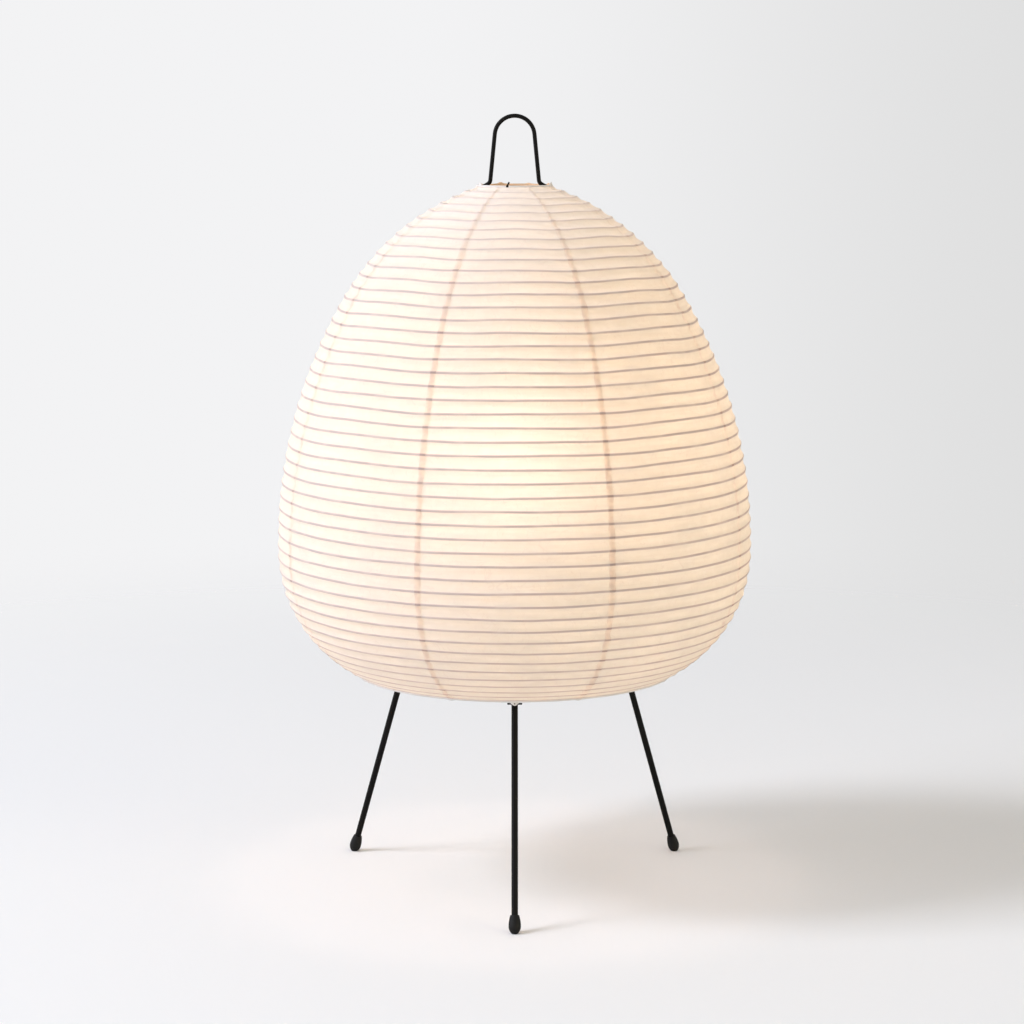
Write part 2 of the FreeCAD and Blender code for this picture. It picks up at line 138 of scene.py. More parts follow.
# Paper bindings round both rings, with ears: (azimuth, height, width)
BINDING_R = 0.67 * MM
BINDING_SWELL = 1.04
BINDING_UNEVEN = 0.06
BINDING_STEP = 2.4 * MM
EAR_THINNING = 1.2 / MM
TOP_EARS = (
    (-12.0, 1.7 * MM, 2.3 * MM), (-157.5, 1.5 * MM, 1.5 * MM), (22.5, 0.8 * MM, 1.6 * MM),
    (67.5, 0.5 * MM, 1.4 * MM), (112.5, 0.9 * MM, 1.7 * MM), (157.5, 0.6 * MM, 1.5 * MM),
)
RIM_EARS = [(azimuth, 0.5 * MM, 1.6 * MM) for azimuth in SEAM_AZIMUTHS]

# Paper tongues on the rim at the legs, each with a knot of thread
LEGS = 3
TONGUE_HALF_WIDTH = 2.9 * MM
TONGUE_ROOT = 0.5 * MM         # starts this far above its place in the frame
TONGUE_DRAWN_IN = 0.45
TONGUE_SHOULDER = 0.12
TONGUE_PLUMP = 0.55 * MM
TONGUE_EDGE = 0.12 * MM
KNOT_R = 0.42 * MM
KNOT_FLAT_R = 0.25 * MM
KNOT_OUT = 0.62 * MM
KNOT_DOWN = 0.35

# Bulb
GLOBE_WALL = 1.2 * MM
BULB_GLOW = (1.0, 0.76, 0.68)
BULB_STRENGTH = 13.0

# Lights: (name, place, point that it faces, size, watts, colour), and an even fill
LIGHTS = (
    ("key_left", (-2.5, -0.7, 3.0), (0, 0, 0.2), 1.0, 63.0, (0.85, 0.895, 1.0)),
    ("side_left", (-3.2, -0.9, 1.25), (0, 0, 0.25), 1.8, 65.0, (0.83, 0.875, 1.0)),
    ("warm_right", (2.9, -1.9, 0.9), (0, 0, 0.25), 1.8, 28.0, (1.0, 0.87, 0.52)),
)
FILL_COLOUR = (1.0, 0.975, 0.955)
FILL_STRENGTH = 0.55

# Floor and background
FLOOR_R = 2.4
FLOOR_MIDDLE_R = 0.02
FLOOR_CLEARS = (0.45, 1.25)    # distances over which the floor clears away
FLOOR_COLOUR = (0.826, 0.828, 0.828)
FLOOR_LIFT = 0.03
BACKDROP_LEFT = (0.895, 0.895, 0.905)
BACKDROP_RIGHT = (0.735, 0.735, 0.735)
BACKDROP_TURN = (-0.05, 0.22)  # directions between which the background darkens

# Camera of the photograph
CAMERA_AT = (-1.44 * MM, -1511.5 * MM, 434.7 * MM)
CAMERA_PITCH = 0.1477
CAMERA_LENS = 96.2
CAMERA_SENSOR = 36.0


# Mesh helpers

def grid_faces(rows, columns, wrap_rows=False, wrap_columns=False):
    """Quads of a grid of points stored row by row; a wrapped side joins its last line to its first."""
    i = np.arange(rows if wrap_rows else rows - 1)[:, None]
    j = np.arange(columns if wrap_columns else columns - 1)[None, :]
    below = (i + 1) % rows
    right = (j + 1) % columns
    corners = (i * columns + j, below * columns + j, below * columns + right, i * columns + right)
    return np.stack(np.broadcast_arrays(*corners), -1).reshape(-1, 4)


def mesh_piece(name, points, faces, uv=None, closed=False):
    """Object at the origin from an array of points and an array of faces, with UVs given per point.
    Where it is to be closed, points that coincide at a pole or an edge become one."""
    mesh = bpy.data.meshes.new(name)
    mesh.vertices.add(len(points))
    mesh.vertices.foreach_set("co", np.asarray(points, np.float32).ravel())
    sides = faces.shape[1]
    mesh.loops.add(faces.size)
    mesh.loops.foreach_set("vertex_index", faces.ravel().astype(np.int32))
    mesh.polygons.add(len(faces))
    mesh.polygons.foreach_set("loop_start", np.arange(0, faces.size, sides, dtype=np.int32))
    if uv is not None:
        layer = mesh.uv_layers.new(name="UVMap")
        layer.data.foreach_set("uv", np.asarray(uv, np.float32)[faces.ravel()].ravel())
    mesh.update(calc_edges=True)
    if closed:
        shell = bmesh.new()
        shell.from_mesh(mesh)
        bmesh.ops.remove_doubles(shell, verts=shell.verts, dist=1e-6)
        shell.to_mesh(mesh)
        shell.free()
    mesh.validate()
    mesh.polygons.foreach_set("use_smooth", np.ones(len(mesh.polygons), bool))
    piece = bpy.data.objects.new(name, mesh)
    bpy.context.scene.collection.objects.link(piece)
    return piece


def turned(points, azimuth):
    """Points modelled on the +X side, turned about the lamp's axis."""
    c, s = math.cos(azimuth), math.sin(azimuth)
    return points @ np.array([[c, s, 0], [-s, c, 0], [0, 0, 1]])


def lattice_noise(u, v, seed):
    """Smooth noise from -1 to 1: random values on whole numbers of u and v, eased between by 3t^2 - 2t^3."""
    values = np.random.default_rng(seed).uniform(-1, 1, (256, 256))
    u0 = np.floor(u).astype(int)
    v0 = np.floor(v).astype(int)
    a = u - u0
    b = v - v0
    a = a * a * (3 - 2 * a)
    b = b * b * (3 - 2 * b)
    low = values[u0 % 256, v0 % 256] * (1 - a) + values[(u0 + 1) % 256, v0 % 256] * a
    high = values[u0 % 256, (v0 + 1) % 256] * (1 - a) + values[(u0 + 1) % 256, (v0 + 1) % 256] * a
    return low * (1 - b) + high * b


# Shade outline

def meridian(s):
    """Shade outline at arc lengths s from the top ring. On an arc of radius R the heading h turns by s / R,
    r grows by R (sin h - sin h0) and z by R (cos h - cos h0). Gives r, z and the outward normal."""
    r = np.full_like(s, TOP_RING_R)
    z = np.full_like(s, TOP_RING_Z)
    heading = np.full_like(s, math.radians(START_HEADING))
    left = s.copy()
    start = math.radians(START_HEADING)
    for radius, end_degrees in SHADE_ARCS:
        end = math.radians(end_degrees)
        turn = np.clip(left / radius, 0, end - start)
        r += radius * (np.sin(start + turn) - math.sin(start))
        z += radius * (np.cos(start + turn) - math.cos(start))
        heading += turn
        left -= radius * turn
        start = end
    return r, z, np.sin(heading), np.cos(heading)


def hoop_stations():
    """Arc lengths of the paper's two ends and of the hoops between: even steps t, and t (1 - t) times a
    taper that grows with t."""
    t = np.arange(BANDS + 1) / BANDS
    s = SHADE_LENGTH * (t + t * (1 - t) * (BAND_TAPER + TAPER_GROWTH * t))
    s[0] = RING_EDGE
    s[-1] = SHADE_LENGTH - RING_EDGE
    return s


def strayed(hoop, azimuth):
    """How far a hoop, by its number, strays along the outline: a few waves round the lamp, each with its own
    phase, and on the upper hoops a cosine that is lowest at the seams. The paper's two ends don't stray."""
    phases = np.random.default_rng(HOOP_SEED).uniform(0, 2 * math.pi, (len(HOOP_WAVES), BANDS + 1))
    waves = enumerate(HOOP_WAVES)
    total = sum(size * np.sin(count * azimuth + phases[k][hoop]) for k, (count, size) in waves)
    drawn = np.interp(hoop / BANDS, *DROP_SHARES)
    at_seam = 0.5 - 0.5 * np.cos(GORES * (azimuth - math.radians(FRONT_AZIMUTH)))
    return (total + SEAM_DROP * drawn * at_seam) * ((hoop > 0) & (hoop < BANDS))


# Material helpers

def new_material(name):
    material = bpy.data.materials.new(name)
    material.use_nodes = True
    material.node_tree.nodes.clear()
    return material, material.node_tree


def add_node(tree, kind, **values):
    """New node. Values named after an input set it, by name or, as i0, i1..., by place, and others are
    settings."""
    node = tree.nodes.new(kind)
    for key, value in values.items():
        label = key.replace("_", " ")
        if key[0] == "i" and key[1:].isdigit():
            socket = node.inputs[int(key[1:])]
        elif hasattr(node, key):
            setattr(node, key, value)
            continue
        else:
            socket = node.inputs[label]
        if isinstance(value, bpy.types.NodeSocket):
            tree.links.new(value, socket)
        else:
            socket.default_value = value
    return node


def math_node(tree, operation, a, b=0.0):
    return add_node(tree, "ShaderNodeMath", operation=operation, i0=a, i1=b).outputs[0]


def times(tree, a, b):
    return math_node(tree, "MULTIPLY", a, b)


def eased(tree, value, low, high, to_low=0.0, to_high=1.0):
    """Value eased from to_low at low to to_high at high."""
    node = add_node(tree, "ShaderNodeMapRange", interpolation_type="SMOOTHSTEP", Value=value)
    for label, number in (("From Min", low), ("From Max", high), ("To Min", to_low), ("To Max", to_high)):
        node.inputs[label].default_value = number
    return node.outputs[0]


def noise(tree, coords, scale, detail=2.0, distortion=0.0):
    node = add_node(tree, "ShaderNodeTexNoise", Vector=coords, Scale=scale, Detail=detail)
    node.inputs["Distortion"].default_value = distortion
    return node.outputs[0]


def two_colours(tree, factor, a, b):
    """Colour that runs from a to b with the factor."""
    node = add_node(tree, "ShaderNodeMix", data_type="RGBA", i0=factor)
    node.inputs[6].default_value = (*a, 1)
    node.inputs[7].default_value = (*b, 1)
    return node.outputs[2]


def mixed_in(tree, share, first, colour):
    """A colour socket, with a share of another colour mixed in."""
    node = add_node(tree, "ShaderNodeMix", data_type="RGBA", i0=share)
    tree.links.new(first, node.inputs[6])
    node.inputs[7].default_value = (*colour, 1)
    return node.outputs[2]


def mixed_shader(tree, share, first, second):
    """Shader that runs from the first node's to the second's with the share."""
    node = add_node(tree, "ShaderNodeMixShader", i0=share)
    tree.links.new(first.outputs[0], node.inputs[1])
    tree.links.new(second.outputs[0], node.inputs[2])
    return node


def finish_material(tree, shader):
    output = add_node(tree, "ShaderNodeOutputMaterial")
    tree.links.new(shader.outputs[0], output.inputs["Surface"])


# Materials

def paper_sheet_material(tree, face, glow, through, height, forward):
    """Paper as a matte face and a translucent one: through is the share of the light that goes through,
    forward the small part of it that goes on nearly straight."""
    bump = add_node(tree, "ShaderNodeBump", Strength=0.35, Distance=0.00012, Height=height)
    matte = add_node(tree, "ShaderNodeBsdfPrincipled", Roughness=0.85)
    matte.inputs["Specular IOR Level"].default_value = 0.25
    matte.inputs["Transmission Weight"].default_value = forward
    tree.links.new(face, matte.inputs["Base Color"])
    tree.links.new(bump.outputs[0], matte.inputs["Normal"])
    lit = add_node(tree, "ShaderNodeBsdfTranslucent")
    tree.links.new(glow, lit.inputs["Color"])
    finish_material(tree, mixed_shader(tree, through, matte, lit))


def lamp_paper_material():
    """Mulberry paper of the gores: cloudy, with level streaks and long fibres. Hoops behind it show as brown
    lines of painted shade where less light comes through, uneven along their way and weaker towards the
    top, with a brown tint of the face over them that is partly the hoops showing through and partly painted
    shade. Less light comes through in the crown, a painted shade, and the lapped seams show as duller
    strips."""
    material, tree = new_material("lamp_paper")
    coords = add_node(tree, "ShaderNodeTexCoord")
    place = coords.outputs["Object"]
    both = add_node(tree, "ShaderNodeSeparateXYZ", i0=coords.outputs["UV"])
    across, along = both.outputs[0], both.outputs[1]

    # Weave
    cloud = noise(tree, place, 30.0, 4.0)
    patch = noise(tree, place, 210.0, 4.0)
    grain = noise(tree, place, 900.0, 2.0)
    strands = noise(tree, place, 75.0, 3.0, 1.6)
    off_line = math_node(tree, "ABSOLUTE", math_node(tree, "SUBTRACT", strands, 0.5))
    fibre = eased(tree, off_line, 0.0, 0.014, 1.0, 0.0)
    drawn = add_node(tree, "ShaderNodeMapping", Vector=place, Scale=(1.0, 1.0, 11.0)).outputs[0]
    streak = noise(tree, drawn, 42.0, 4.0, 0.3)

    # Painted shade of the hoops behind the paper: a line uneven along its way and weaker towards the top
    beside_hoop = math_node(tree, "PINGPONG", times(tree, along, float(BANDS)), 0.5)
    line = eased(tree, beside_hoop, 0.05, 0.115, 1.0, 0.0)
    painted_hoop_shade = times(tree, line, eased(tree, noise(tree, place, 60.0, 2.0), 0.3, 0.62, 0.6, 1.0))
    painted_hoop_shade = times(tree, painted_hoop_shade, eased(tree, along, 0.0, 0.3, 0.45, 1.0))

    # Lapped seams
    lap = eased(tree, across, 0.998, 1.03)
    under_lap = eased(tree, across, 0.020, 0.026, 1.0, 0.0)
    double = math_node(tree, "MAXIMUM", lap, under_lap)
    off_middle = math_node(tree, "ABSOLUTE", math_node(tree, "SUBTRACT", across, 1.5))
    lap_edge = times(tree, eased(tree, off_middle, 0.36, 0.46), lap)
    # a darker line along the lap's edges, in patches
    dark_lap_edge = times(tree, lap_edge, eased(tree, patch, 0.45, 0.62, 0.0, 0.30))
    # share that grows from the top to a third of the way down: the seams darken more further down
    more_further_down = eased(tree, along, 0.05, 0.32, 0.15, 1.0)
    dull = times(tree, lap, eased(tree, patch, 0.40, 0.62, 0.06, 0.42))

    # Light that comes through
    glow = two_colours(tree, eased(tree, cloud, 0.3, 0.7), (0.87, 0.75, 0.46), (0.94, 0.82, 0.53))
    glow = mixed_in(tree, eased(tree, patch, 0.40, 0.68, 0.0, 0.40), glow, (0.99, 0.90, 0.65))
    glow = mixed_in(tree, eased(tree, streak, 0.38, 0.66, 0.0, 0.34), glow, (0.76, 0.60, 0.34))
    glow = mixed_in(tree, times(tree, fibre, 0.35), glow, (0.72, 0.52, 0.28))
    glow = mixed_in(tree, times(tree, double, 0.75), glow, (0.98, 0.87, 0.72))
    glow = mixed_in(tree, times(tree, dull, more_further_down), glow, (0.70, 0.50, 0.34))
    glow = mixed_in(tree, dark_lap_edge, glow, (0.55, 0.36, 0.24))
    # painted shadow of the hoops: less light comes through along them
    glow = mixed_in(tree, painted_hoop_shade, glow, (0.34, 0.11, 0.02))
    # painted shade: less light comes through towards the top, standing in for the bulb's weaker light at the
    # crown
    crown = eased(tree, along, 0.0, 0.35, 0.72, 1.0)
    crown_shaded_through = times(tree, eased(tree, cloud, 0.25, 0.75, 0.38, 0.42), crown)
    through = math_node(tree, "ADD", crown_shaded_through, times(tree, double, 0.16))

    # Face
    face = two_colours(tree, eased(tree, cloud, 0.3, 0.7), (0.89, 0.85, 0.84), (0.93, 0.89, 0.88))
    face = mixed_in(tree, times(tree, times(tree, lap, more_further_down), 0.03), face, (0.84, 0.64, 0.46))
    # brown tint of the face over the hoops, partly the hoops showing through and partly painted shade
    face = mixed_in(tree, times(tree, painted_hoop_shade, 0.18), face, (0.76, 0.59, 0.45))
    height = math_node(tree, "ADD", math_node(tree, "ADD", grain, streak), times(tree, fibre, 0.6))
    paper_sheet_material(tree, face, glow, through, height, 0.06)
    return material


def binding_paper_material():
    """Cream paper of the bindings and tongues: two layers and glue, so little light comes through, with
    darker stains, and painted warm orange on the inner side, standing in for the bulb's light there."""
    material, tree = new_material("binding_paper")
    coords = add_node(tree, "ShaderNodeTexCoord")
    place = coords.outputs["Object"]
    cloud = noise(tree, place, 60.0, 3.0)
    stain = noise(tree, place, 330.0, 3.0)
    grain = noise(tree, place, 900.0, 2.0)
    inward = add_node(tree, "ShaderNodeSeparateXYZ", i0=coords.outputs["UV"]).outputs[1]
    face = two_colours(tree, eased(tree, cloud, 0.3, 0.7), (0.88, 0.84, 0.80), (0.93, 0.90, 0.87))
    face = mixed_in(tree, eased(tree, stain, 0.60, 0.72, 0.0, 0.30), face, (0.55, 0.43, 0.33))
    # painted light: the inner side is orange as if lit by the bulb
    face = mixed_in(tree, eased(tree, inward, 0.25, 0.5, 0.9, 0.0), face, (0.82, 0.54, 0.32))
    glow = two_colours(tree, cloud, (0.80, 0.66, 0.52), (0.86, 0.74, 0.60))
    through = eased(tree, stain, 0.3, 0.7, 0.24, 0.16)
    paper_sheet_material(tree, face, glow, through, grain, 0.0)
    return material


def coated_material(name, dark, light, scale, roughness, metal=0.0, shine=0.5):
    """Rigid finish: two close tones in soft patches, fine grain in the gloss and in the surface."""
    material, tree = new_material(name)
    place = add_node(tree, "ShaderNodeTexCoord").outputs["Object"]
    patch = noise(tree, place, scale, 3.0)
    grain = noise(tree, place, scale * 14, 2.0)
    colour = two_colours(tree, eased(tree, patch, 0.3, 0.7), dark, light)
    gloss = eased(tree, grain, 0.2, 0.8, roughness * 0.85, roughness * 1.15)
    relief = add_node(tree, "ShaderNodeBump", Strength=0.4, Distance=0.00003, Height=grain)
    face = add_node(tree, "ShaderNodeBsdfPrincipled", Metallic=metal)
    face.inputs["Specular IOR Level"].default_value = shine
    tree.links.new(colour, face.inputs["Base Color"])
    tree.links.new(gloss, face.inputs["Roughness"])
    tree.links.new(relief.outputs[0], face.inputs["Normal"])
    finish_material(tree, face)
    return material


def bamboo_material():
    """Split bamboo: brown with streaks drawn out along the hoop, by its own UV."""
    material, tree = new_material("bamboo_hoop")
    uv = add_node(tree, "ShaderNodeTexCoord").outputs["UV"]
    drawn = add_node(tree, "ShaderNodeMapping", Vector=uv, Scale=(40.0, 6.0, 1.0)).outputs[0]
    streak = noise(tree, drawn, 6.0, 3.0)
    colour = two_colours(tree, eased(tree, streak, 0.3, 0.7), (0.16, 0.10, 0.055), (0.30, 0.20, 0.11))
    face = add_node(tree, "ShaderNodeBsdfPrincipled", Roughness=0.62)
    tree.links.new(colour, face.inputs["Base Color"])
    finish_material(tree, face)
    return material


def opal_material():
    """Lit opal globe, glowing evenly."""
    material, tree = new_material("lit_opal")
    place = add_node(tree, "ShaderNodeTexCoord").outputs["Object"]
    cloud = noise(tree, place, 40.0, 2.0)
    face = add_node(tree, "ShaderNodeBsdfPrincipled", Roughness=0.25)
    colour = two_colours(tree, cloud, (0.93, 0.92, 0.90), (0.96, 0.95, 0.93))
    tree.links.new(colour, face.inputs["Base Color"])
    face.inputs["Emission Color"].default_value = (*BULB_GLOW, 1)
    face.inputs["Emission Strength"].default_value = BULB_STRENGTH
    finish_material(tree, face)
    return material


# Shade

def band_rows():
    """Rows of the paper from ring to ring, as two columns: the number of the hoop above each, and its share
    of the way down to the next hoop, which runs as half a cosine so that rows lie close at the hoops."""
    share = 0.5 - 0.5 * np.cos(np.linspace(0, math.pi, ROWS_PER_BAND, endpoint=False))
    hoop = np.repeat(np.arange(BANDS), ROWS_PER_BAND)
    return np.append(hoop, BANDS - 1)[:, None], np.append(np.tile(share, BANDS), 1.0)[:, None]


def gore_angles(index, level, radius):
    """Angles from a gore's middle: even steps from seam to seam, and on over the next gore by the lap, which
    is narrower at the top ring and has an edge made ragged by noise."""
    steps = np.linspace(-HALF_GORE, HALF_GORE, GORE_COLUMNS + 1)
    across = np.broadcast_to(steps, (len(level), len(steps)))
    edge = lattice_noise(level / LAP_RAGGED_STEP, np.zeros_like(level), LAP_SEED + index)
    lap = SEAM_LAP * (1 + LAP_RAGGED * edge) * np.interp(level, (0.0, FULL_LAP_FROM), (TOP_LAP, 1.0))
    return np.concatenate([across, HALF_GORE + LAP_STEPS * (lap / radius)], 1)


def paper_relief(angle, azimuth, level, radius, width, share):
    """Height of the skin over the outline. Between hoops it dips by a parabola p, rounded at the hoops as
    sqrt(p^2 + c^2) - c, a little more or less from place to place. It carries fine level wrinkles, which
    gather to pleats at the seams by a bell curve of the distance, and the lap lies on the next gore."""
    arc = azimuth * radius
    uneven = 1 + SAG_UNEVEN * lattice_noise(arc / SAG_CELL[0], level / SAG_CELL[1], SAG_SEED)
    wrinkle = WRINKLE * lattice_noise(arc / WRINKLE_CELL[0], level / WRINKLE_CELL[1], WRINKLE_SEED)
    pucker = lattice_noise(arc / PLEAT_CELL[0], level / PLEAT_CELL[1], PLEAT_SEED)
    taut = 4 * share * (1 - share)
    dip = PAPER_SAG * taut * (width / BAND_PITCH) * uneven
    skin = RIDGE_ROUND - np.sqrt(dip ** 2 + RIDGE_ROUND ** 2)
    crown = np.interp(level, (0.0, CROWN_LENGTH), (1.0, 0.0))
    to_seam = (HALF_GORE - np.abs(angle)) * radius
    pleat = (PLEAT + CROWN_PLEAT * crown) * np.exp(-((to_seam / PLEAT_REACH) ** 2)) * pucker
    lift = np.concatenate([np.zeros(GORE_COLUMNS), [SEAM_LIFT / 2], np.full(LAP_COLUMNS, SEAM_LIFT)])
    return skin + taut * (wrinkle + pleat) + lift * (1 + CROWN_LIFT * crown)


def paper_gore(index, material):
    """One gore on a grid of arc length and azimuth, raised over the outline by the paper's relief. Half of
    the lap lies on each side of the seam's line."""
    hoop, share = band_rows()
    ends = hoop_stations()
    width = ends[hoop + 1] - ends[hoop]
    level = ends[hoop] + share * width
    radius = meridian(level)[0]
    angle = gore_angles(index, level, radius)
    # gores are counted both ways from the front, so that neighbours share their dips and wrinkles
    place = (index + GORES // 2) % GORES - GORES // 2
    azimuth = angle + math.radians(FRONT_AZIMUTH + place * 360.0 / GORES) - SEAM_LAP / 2 / radius
    stray = (1 - share) * strayed(hoop, azimuth) + share * strayed(hoop + 1, azimuth)
    r, z, nr, nz = meridian(level + stray)
    skin = paper_relief(angle, azimuth, level, radius, width, share)
    out = r + skin * nr
    points = np.stack([out * np.cos(azimuth), out * np.sin(azimuth), z + skin * nz], -1).reshape(-1, 3)
    sideways = np.concatenate([np.linspace(0, 1, GORE_COLUMNS + 1), 1 + LAP_STEPS])
    u = np.broadcast_to(sideways, angle.shape)
    v = np.broadcast_to((hoop + share) / BANDS, angle.shape)
    uv = np.stack([u, v], -1).reshape(-1, 2)
    piece = mesh_piece("paper_skin_%d" % (index + 1), points, grid_faces(*angle.shape), uv)
    piece.data.materials.append(material)
    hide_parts("paper_gore_%d" % (index + 1))
    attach(piece, "shade")
    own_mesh(piece)


def hoops(material):
    """Thin closed rings below the ridges of the paper, straying along the outline with them: a small circle
    carried round the axis, for all hoops at once."""
    sides, around = 144, 8
    turn = np.linspace(0, 2 * math.pi, sides, endpoint=False)
    small = np.linspace(0, 2 * math.pi, around, endpoint=False)
    number = np.arange(1, BANDS)[:, None]
    r, z, nr, nz = meridian(hoop_stations()[1:-1, None] + strayed(number, turn[None, :]))
    out = (r - HOOP_DEPTH * nr)[..., None] + HOOP_R * np.cos(small)
    level = (z - HOOP_DEPTH * nz)[..., None] + HOOP_R * np.sin(small)
    points = np.stack([out * np.cos(turn)[:, None], out * np.sin(turn)[:, None], level], -1).reshape(-1, 3)
    u = np.broadcast_to(turn[:, None] / (2 * math.pi), level.shape)
    v = np.broadcast_to(number[..., None] + small / (2 * math.pi), level.shape)
    ring = grid_faces(sides, around, True, True)
    faces = (ring[None] + (np.arange(BANDS - 1) * sides * around)[:, None, None]).reshape(-1, 4)
    piece = mesh_piece("shade_hoops", points, faces, np.stack([u, v], -1).reshape(-1, 2))
    piece.data.materials.append(material)
    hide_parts("rib_hoops")
    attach(piece, "shade")
    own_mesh(piece)


def binding(name, radius, height, body, seed, ears, side, material):
    """Strip of paper glued round a ring: the ring's circle made larger and uneven by noise. At each ear the
    strip's upper or lower half is drawn out, by a bell curve of the distance from the ear, and thins towards
    its tip."""
    sides, around = 480, 16
    turn = np.linspace(0, 2 * math.pi, sides, endpoint=False)[:, None]
    small = np.linspace(0, 2 * math.pi, around, endpoint=False)[None, :]
    uneven = lattice_noise(turn * radius / BINDING_STEP, np.zeros_like(turn), seed)
    size = BINDING_R * (BINDING_SWELL + BINDING_UNEVEN * uneven)
    rise = np.zeros_like(turn)
    for azimuth, ear, breadth in ears:
        away = (turn - math.radians(azimuth) + math.pi) % (2 * math.pi) - math.pi
        rise += ear * np.exp(-(away * radius / breadth) ** 2)
    drawn = np.clip(side * np.sin(small), 0, 1) * rise
    out = radius + size * np.cos(small) / (1 + EAR_THINNING * drawn)
    level = height + size * np.sin(small) + side * drawn
    points = np.stack([out * np.cos(turn), out * np.sin(turn), level], -1).reshape(-1, 3)
    # the small circle is stored as a distance from its inner side, 0 to 1, which needs no cut
    inward = np.broadcast_to(0.5 + 0.5 * np.cos(small), level.shape)
    uv = np.stack([np.broadcast_to(turn, level.shape), inward], -1).reshape(-1, 2)
    piece = mesh_piece(name, points, grid_faces(sides, around, True, True), uv)
    piece.data.materials.append(material)
    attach(piece, body)


def rim_tongue(index, material):
    """Tongue of paper below the rim at a leg: half a disc drawn in towards its tip, whose two faces close
    towards its edge as the root of 1 - reach^2."""
    low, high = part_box("rim_tab_%d" % (index + 1))
    rings, sides = 9, 48
    drop = high.z - low.z + TONGUE_ROOT
    reach = np.linspace(0, 1, rings)[:, None]
    way = np.linspace(0, 2 * math.pi, sides, endpoint=False)[None, :]
    narrowing = 1 - TONGUE_DRAWN_IN * np.clip(np.sin(way), 0, 1)
    across = TONGUE_HALF_WIDTH * reach * np.cos(way) * narrowing
    level = high.z + TONGUE_ROOT - drop * reach * np.clip(np.sin(way), -TONGUE_SHOULDER, 1)
    plump = TONGUE_PLUMP * np.sqrt(np.clip(1 - reach ** 2, 0, 1)) + TONGUE_EDGE
    outer, inner = (np.broadcast_to(RIM_R + side * plump, across.shape) for side in (1, -1))
    outer_face = np.stack([outer, across, level], -1)
    inner_face = np.stack([inner, across, level], -1)
    grid = np.concatenate([outer_face, inner_face[::-1]], 0).reshape(-1, 3)
    points = turned(grid, leg_azimuth(index))
    faces = grid_faces(2 * rings, sides, False, True)[:, ::-1]
    # the whole tongue has the look of a binding's outer side
    uv = np.ones((len(points), 2))
    piece = mesh_piece("rim_tongue_%d" % (index + 1), points, faces, uv, closed=True)
    piece.data.materials.append(material)
    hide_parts("rim_tab_%d" % (index + 1))
    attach(piece, "shade_rim")


def tongue_knot(index, material):
    """Knot of dark thread on a tongue's outer face: a small flattened ball."""
    low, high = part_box("rim_tab_%d" % (index + 1))
    rings, sides = 9, 16
    height = high.z - KNOT_DOWN * (high.z - low.z)
    rise = np.linspace(-math.pi / 2, math.pi / 2, rings)[:, None]
    way = np.linspace(0, 2 * math.pi, sides, endpoint=False)[None, :]
    out = RIM_R + KNOT_OUT + KNOT_FLAT_R * np.cos(rise) * np.cos(way)
    across = KNOT_R * np.cos(rise) * np.sin(way)
    level = np.broadcast_to(height + KNOT_R * np.sin(rise), across.shape)
    points = turned(np.stack([out, across, level], -1).reshape(-1, 3), leg_azimuth(index))
    faces = grid_faces(rings, sides, False, True)[:, ::-1]
    piece = mesh_piece("tongue_knot_%d" % (index + 1), points, faces, closed=True)
    piece.data.materials.append(material)
    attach(piece, "shade_rim")


def leg_azimuth(index):
    return math.radians(FRONT_AZIMUTH + index * 360.0 / LEGS)


# Bulb

def bulb_globe(material):
    """Opal globe: a circle of the globe's radius from the top to its mouth, and back inside by the wall's
    thickness, carried round the axis."""
    low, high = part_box("bulb_globe")
    rows, sides = 32, 64
    radius = (high.x - low.x) / 2
    inner = radius - GLOBE_WALL
    centre = high.z - radius
    mouth = low.z - centre
    outside = np.linspace(math.pi / 2, math.asin(mouth / radius), rows)
    inside = np.linspace(math.asin(mouth / inner), math.pi / 2, rows)
    turn = np.linspace(0, 2 * math.pi, sides, endpoint=False)[None, :]
    out = np.concatenate([radius * np.cos(outside), inner * np.cos(inside)])[:, None]
    level = np.concatenate([radius * np.sin(outside), inner * np.sin(inside)])[:, None]
    height = np.broadcast_to(centre + level, (2 * rows, sides))
    points = np.stack([out * np.cos(turn), out * np.sin(turn), height], -1).reshape(-1, 3)
    piece = mesh_piece("lit_globe", points, grid_faces(2 * rows, sides, False, True), closed=True)
    piece.data.materials.append(material)
    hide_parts("bulb_globe")
    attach(piece, "bulb")


# Pieces of the frame that keep their shape

